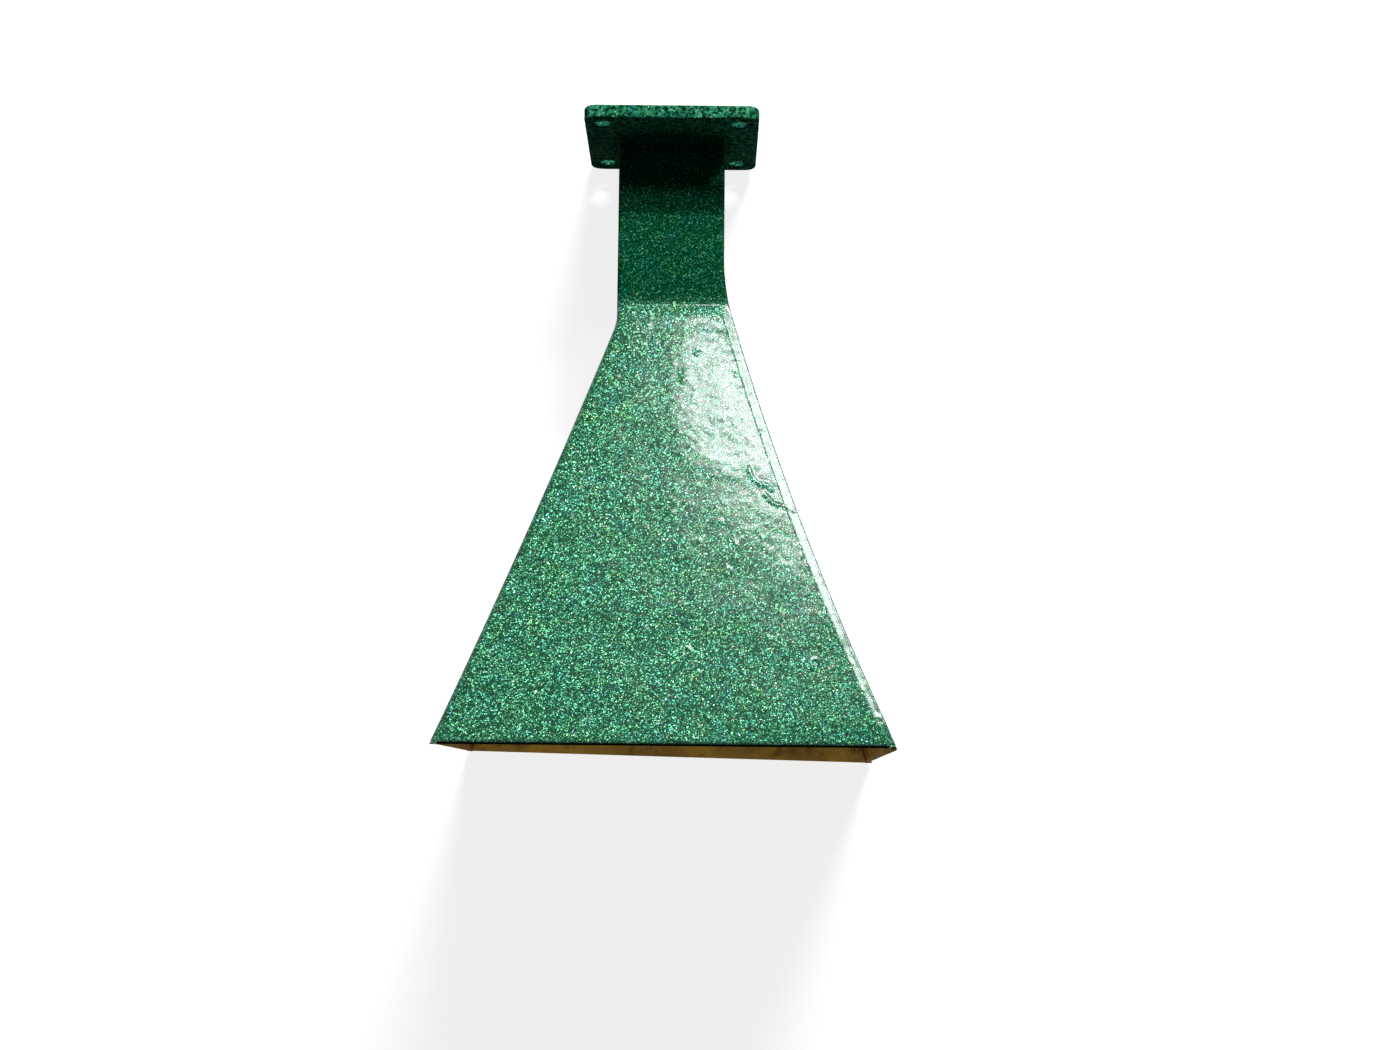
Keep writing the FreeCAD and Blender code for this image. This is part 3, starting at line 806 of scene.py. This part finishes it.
def closed_coat(name):
    """The coat as one closed skin: fine outside, coarse where it lies on the metal."""
    vertices = []
    faces = []
    layers = []
    for pitch, top_pitch, depth_of in ((OTHER_PITCH, TOP_PITCH, outer_depth),
                                       (LINING_PITCH, LINING_PITCH, inner_depth)):
        ring_pitch = ROW_PITCH if depth_of is outer_depth else LINING_PITCH
        rings = coat_rings(ring_pitch)
        rows = [lay_points(ring, vertices, pitch, top_pitch, depth_of) for ring in rings]
        for row_a, row_b in zip(rows, rows[1:]):
            for run_a, run_b in zip(row_a, row_b):
                zip_rows(faces, run_a, run_b)
        layers.append(rows)
    outer, inner = layers
    for end in (0, -1):
        for run_a, run_b in zip(outer[end], inner[end]):
            zip_rows(faces, run_a, run_b)
    mesh = bpy.data.meshes.new(name)
    mesh.from_pydata(vertices, [], faces)
    shape = bmesh.new()
    shape.from_mesh(mesh)
    bmesh.ops.recalc_face_normals(shape, faces=shape.faces)
    shape.to_mesh(mesh)
    shape.free()
    mesh.shade_smooth()
    piece = bpy.data.objects.new(name, mesh)
    bpy.context.scene.collection.objects.link(piece)
    return piece


HORN_PAINT = enamel_values((0.0014, 0.078, 0.031, 1.0), 0.26 * MM, 0.5)
horn_coat = closed_coat("enamel_on_tube_and_flare")
horn_coat.data.materials.append(enamel_finish("flake_enamel_on_horn", HORN_PAINT))
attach(horn_coat, "root")


# Enamel on the flange
# The same coat on the edges and the back of the plate, run thicker and lumpier than on the flare.
# It stops at the rims of the bolt holes and short of the mating face.

HOLE_RADIUS = 2.4 * MM
HOLE_X = 16.25 * MM
HOLE_Z = 15.5 * MM
PLATE_HALF = flange_high.x
PLATE_CORNER = 3.0 * MM
BACK_ROUND = 0.4 * MM
BARE_BAND = 0.2 * MM
OPENING_RIM = 0.1 * MM
RIM_STEP = 0.15 * MM
RIM_RAMP = 0.38 * MM
FLANGE_PITCH = 0.42 * MM
ROOM = 0.6 * FLANGE_PITCH
LUMP_SIZE = 1.0 * MM
LUMP_DEPTH = 0.035 * MM


def rounded_loop(half_x, half_z, radius, pitch):
    """Points and outward directions round a rectangle with rounded corners, seen along Y."""
    loop = []
    corners = [(1, 1, 0), (-1, 1, 1), (-1, -1, 2), (1, -1, 3)]
    arc_steps = max(3, round(radius * math.pi / 2 / pitch))
    for number, (side, up, quarter) in enumerate(corners):
        centre = Vector((side * (half_x - radius), up * (half_z - radius)))
        for step in range(arc_steps + 1):
            angle = math.pi / 2 * (quarter + step / arc_steps)
            out = Vector((math.cos(angle), math.sin(angle)))
            loop.append((centre + out * radius, out))
        side_next, up_next, _ = corners[(number + 1) % 4]
        next_centre = Vector((side_next * (half_x - radius), up_next * (half_z - radius)))
        length = (next_centre - centre).length
        count = max(1, round(length / pitch))
        start, out = loop[-1]
        for step in range(1, count):
            loop.append((start + (next_centre - centre) * step / count, out))
    return loop


def flange_depth(point, share):
    """How thick the enamel is here; share is 0 where it runs out."""
    lumps = noise.noise(point / LUMP_SIZE) + 0.5 * noise.noise(point / (LUMP_SIZE * 2.6))
    return (FILM + LUMP_DEPTH * lumps) * share


def flange_coat(name):
    """Film over the plate's edges and back as one closed skin, open at the holes and the tube."""
    spots = []
    faces = []

    def add(x, y, z, facing, share):
        spots.append((Vector((x, y, z)), facing, share))
        return len(spots) - 1

    outline = rounded_loop(PLATE_HALF, PLATE_HALF, PLATE_CORNER, FLANGE_PITCH)
    depths = [BARE_BAND + FLANGE_PITCH * 0.3 * step for step in range(3)]
    while depths[-1] < FLANGE_BACK - BACK_ROUND - FLANGE_PITCH:
        depths.append(depths[-1] + FLANGE_PITCH)
    rows = []
    for index, y in enumerate(depths + [FLANGE_BACK - BACK_ROUND]):
        share = min(index / 2, 1.0)
        rows.append([add(p.x, -y, p.y, Vector((out.x, 0, out.y)), share) for p, out in outline])
    for step in range(1, 4):
        angle = math.pi / 2 * step / 3
        inset = BACK_ROUND * (1 - math.cos(angle))
        y = FLANGE_BACK - BACK_ROUND * (1 - math.sin(angle))
        row = []
        for p, out in outline:
            facing = Vector((out.x * math.cos(angle), -math.sin(angle), out.y * math.cos(angle)))
            row.append(add(p.x - out.x * inset, -y, p.y - out.y * inset, facing, 1.0))
        rows.append(row)
    for row_a, row_b in zip(rows, rows[1:]):
        for index in range(len(row_a)):
            after = (index + 1) % len(row_a)
            faces.append((row_a[index], row_a[after], row_b[after], row_b[index]))

    grow = FILLET_SIZE + OPENING_RIM
    slot_x = HALF_TUBE_WIDTH + grow
    slot_z = HALF_TUBE_HEIGHT + grow
    holes = [Vector((side * HOLE_X, up * HOLE_Z)) for side in (-1, 1) for up in (-1, 1)]

    def to_opening(point):
        """Distance from a point on the back to the nearest hole's rim or to the tube's slot."""
        nearest = min((point - hole).length for hole in holes) - HOLE_RADIUS
        corner = TUBE_CORNER + grow
        over = Vector((max(abs(point.x) - slot_x + corner, 0), max(abs(point.y) - slot_z + corner, 0)))
        return min(nearest, over.length - corner)

    flat = [Vector((spots[number][0].x, spots[number][0].z)) for number in rows[-1]]
    numbers = list(rows[-1])
    edges = [(index, (index + 1) % len(flat)) for index in range(len(flat))]
    loops = []
    for ring_out in (0.0, RIM_STEP, RIM_RAMP):
        loops.append([p for p, _ in rounded_loop(slot_x + ring_out, slot_z + ring_out,
                                                 TUBE_CORNER + grow + ring_out, FLANGE_PITCH)])
        for hole in holes:
            radius = HOLE_RADIUS + ring_out
            count = round(2 * math.pi * radius / FLANGE_PITCH)
            loops.append([hole + Vector((math.cos(2 * math.pi * i / count),
                                         math.sin(2 * math.pi * i / count))) * radius
                          for i in range(count)])
    for loop in loops:
        first = len(flat)
        flat += loop
        edges += [(first + i, first + (i + 1) % len(loop)) for i in range(len(loop))]
    inner = PLATE_HALF - BACK_ROUND - FLANGE_PITCH * 0.7
    count = round(2 * inner / FLANGE_PITCH)
    for i in range(count + 1):
        for j in range(count + 1):
            offset = 0.5 * (j % 2)
            x = mix(-inner, inner, min((i + offset) / count, 1))
            point = Vector((x, mix(-inner, inner, j / count)))
            over = Vector((max(abs(point.x) - PLATE_HALF + PLATE_CORNER, 0),
                           max(abs(point.y) - PLATE_HALF + PLATE_CORNER, 0)))
            inside = over.length < PLATE_CORNER - BACK_ROUND - ROOM
            if inside and to_opening(point) > RIM_RAMP + ROOM:
                flat.append(point)
    points, _, triangles, _, _, _ = geometry.delaunay_2d_cdt(flat, edges, [], 1, 1e-7)
    facing = Vector((0, -1, 0))
    for point in points[len(numbers):]:
        share = soft(to_opening(point), 0, RIM_RAMP)
        numbers.append(add(point.x, -FLANGE_BACK, point.y, facing, share))
    for triangle in triangles:
        middle = sum((points[i] for i in triangle), Vector((0, 0))) / 3
        if to_opening(middle) > 0:
            faces.append(tuple(numbers[i] for i in triangle))
    return closed_film(name, spots, faces)


def closed_film(name, spots, faces):
    """Closed mesh: the given surface raised by the film's depth, and its lining under the metal."""
    count = len(spots)
    raised = [point + facing * flange_depth(point, share) for point, facing, share in spots]
    lining = [point - facing * UNDER_METAL for point, facing, _ in spots]
    sides = {}
    for face in faces:
        for a, b in zip(face, face[1:] + face[:1]):
            if sides.pop((b, a), None) is None and sides.pop((a, b), None) is None:
                sides[(a, b)] = True
    walls = [(a, b, b + count, a + count) for a, b in sides]
    back = [tuple(number + count for number in reversed(face)) for face in faces]
    mesh = bpy.data.meshes.new(name)
    mesh.from_pydata(raised + lining, [], faces + back + walls)
    shape = bmesh.new()
    shape.from_mesh(mesh)
    bmesh.ops.delete(shape, geom=[v for v in shape.verts if not v.link_faces], context="VERTS")
    bmesh.ops.recalc_face_normals(shape, faces=shape.faces)
    shape.to_mesh(mesh)
    shape.free()
    mesh.shade_smooth()
    piece = bpy.data.objects.new(name, mesh)
    bpy.context.scene.collection.objects.link(piece)
    return piece


LUMPY_PAINT = enamel_values((0.022, 0.19, 0.1, 1.0), 0.55 * MM, 0.4)
flange_film = flange_coat("enamel_on_flange")
flange_film.data.materials.append(enamel_finish("flake_enamel_on_flange", LUMPY_PAINT))
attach(flange_film, "root")


# Table, light and camera
# The horn lies on a white table on the lower rim of its mouth and the edge of its flange.
# Behind it stand a wide low lamp, a small one that the flat top mirrors, and one for the fat edge.
# The camera looks almost straight down.

mouth_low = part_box("horn_bottom_wall")[0]
REST_GAP = 0.25 * MM
slope = (flange_low.z - mouth_low.z) / -mouth_low.y
table_tilt = math.atan(slope)
table_through = Vector((0, mouth_low.y, mouth_low.z - REST_GAP))
TABLE_HALF = 3.0

table_shape = bmesh.new()
bmesh.ops.create_grid(table_shape, x_segments=2, y_segments=2, size=TABLE_HALF)
table_mesh = bpy.data.meshes.new("table")
table_shape.to_mesh(table_mesh)
table_shape.free()
table = bpy.data.objects.new("table", table_mesh)
bpy.context.scene.collection.objects.link(table)
table.rotation_euler = (table_tilt, 0, 0)
table.location = table_through

TABLE_GREY = (0.35, 0.35, 0.35, 1)
TABLE_GLOW = 0.84
table_white = bpy.data.materials.new("white_table")
table_white.use_nodes = True
tree = table_white.node_tree
tree.nodes.remove(tree.nodes["Principled BSDF"])
matt = node(tree, "ShaderNodeBsdfDiffuse", Color=TABLE_GREY)
glow = node(tree, "ShaderNodeEmission", Color=(1, 1, 1, 1), Strength=TABLE_GLOW)
rays = node(tree, "ShaderNodeLightPath")
seen = calculate(tree, "MAXIMUM", rays.outputs["Is Camera Ray"], rays.outputs["Is Glossy Ray"])
seen = calculate(tree, "MAXIMUM", seen, rays.outputs["Is Transmission Ray"])
both = node(tree, "ShaderNodeAddShader")
choose = node(tree, "ShaderNodeMixShader")
link(tree, matt.outputs[0], both.inputs[0])
link(tree, glow.outputs[0], both.inputs[1])
link(tree, seen, choose.inputs[0])
link(tree, matt.outputs[0], choose.inputs[1])
link(tree, both.outputs[0], choose.inputs[2])
link(tree, choose.outputs[0], tree.nodes["Material Output"].inputs["Surface"])
table_mesh.materials.append(table_white)

ROOM_LIGHT = 0.05
world = bpy.data.worlds.new("studio")
world.use_nodes = True
bpy.context.scene.world = world
tree = world.node_tree
backdrop = tree.nodes["Background"]
backdrop.inputs["Color"].default_value = (1, 1, 1, 1)
rays = node(tree, "ShaderNodeLightPath")
seen = calculate(tree, "MAXIMUM", rays.outputs["Is Camera Ray"], rays.outputs["Is Glossy Ray"])
seen = calculate(tree, "MAXIMUM", seen, rays.outputs["Is Transmission Ray"])
strength = calculate(tree, "MULTIPLY_ADD", seen, 1 - ROOM_LIGHT, ROOM_LIGHT)
link(tree, strength, backdrop.inputs["Strength"])

HORN_MIDDLE = Vector((0, -0.075, 0))


def panel(name, azimuth, elevation, away, width, height, watts, roll=0.0):
    """Soft rectangular lamp that faces the horn: azimuth from +Y towards +X, in degrees."""
    turn = math.radians(azimuth)
    rise = math.radians(elevation)
    level = math.cos(rise)
    direction = Vector((math.sin(turn) * level, math.cos(turn) * level, math.sin(rise)))
    lamp = bpy.data.lights.new(name, "AREA")
    lamp.shape = "RECTANGLE"
    lamp.size = width
    lamp.size_y = height
    lamp.energy = watts
    holder = bpy.data.objects.new(name, lamp)
    bpy.context.scene.collection.objects.link(holder)
    facing = direction.to_track_quat("Z", "Y").to_matrix().to_4x4()
    holder.matrix_world = (Matrix.Translation(HORN_MIDDLE + direction * away) @ facing
                           @ Matrix.Rotation(math.radians(roll), 4, "Z"))


panel("low_panel", azimuth=15, elevation=34, away=1.4, width=0.45, height=0.1, watts=27)
panel("gloss_panel", azimuth=3.2, elevation=47.6, away=1.6, width=0.17, height=0.048, watts=2.7,
      roll=-13)
panel("edge_panel", azimuth=20.5, elevation=41.6, away=1.6, width=0.36, height=0.12, watts=9, roll=20)

CAMERA_AT = Vector((0.008107, -0.172878, 0.536917))
CAMERA_VIEW = Vector((-0.0008933, 0.1394104, -0.9902343))
CAMERA_UP = Vector((-0.0096338, 0.9901875, 0.1394125))
SENSOR = 36.0
LENS = 58.2317
camera_data = bpy.data.cameras.new("camera")
camera_data.sensor_fit = "HORIZONTAL"
camera_data.sensor_width = SENSOR
camera_data.lens = LENS
camera = bpy.data.objects.new("camera", camera_data)
bpy.context.scene.collection.objects.link(camera)
camera_right = CAMERA_VIEW.cross(CAMERA_UP).normalized()
turned = Matrix((camera_right, CAMERA_UP, -CAMERA_VIEW)).transposed().to_4x4()
camera.matrix_world = Matrix.Translation(CAMERA_AT) @ turned
bpy.context.scene.camera = camera
bpy.context.scene.view_settings.view_transform = "Standard"
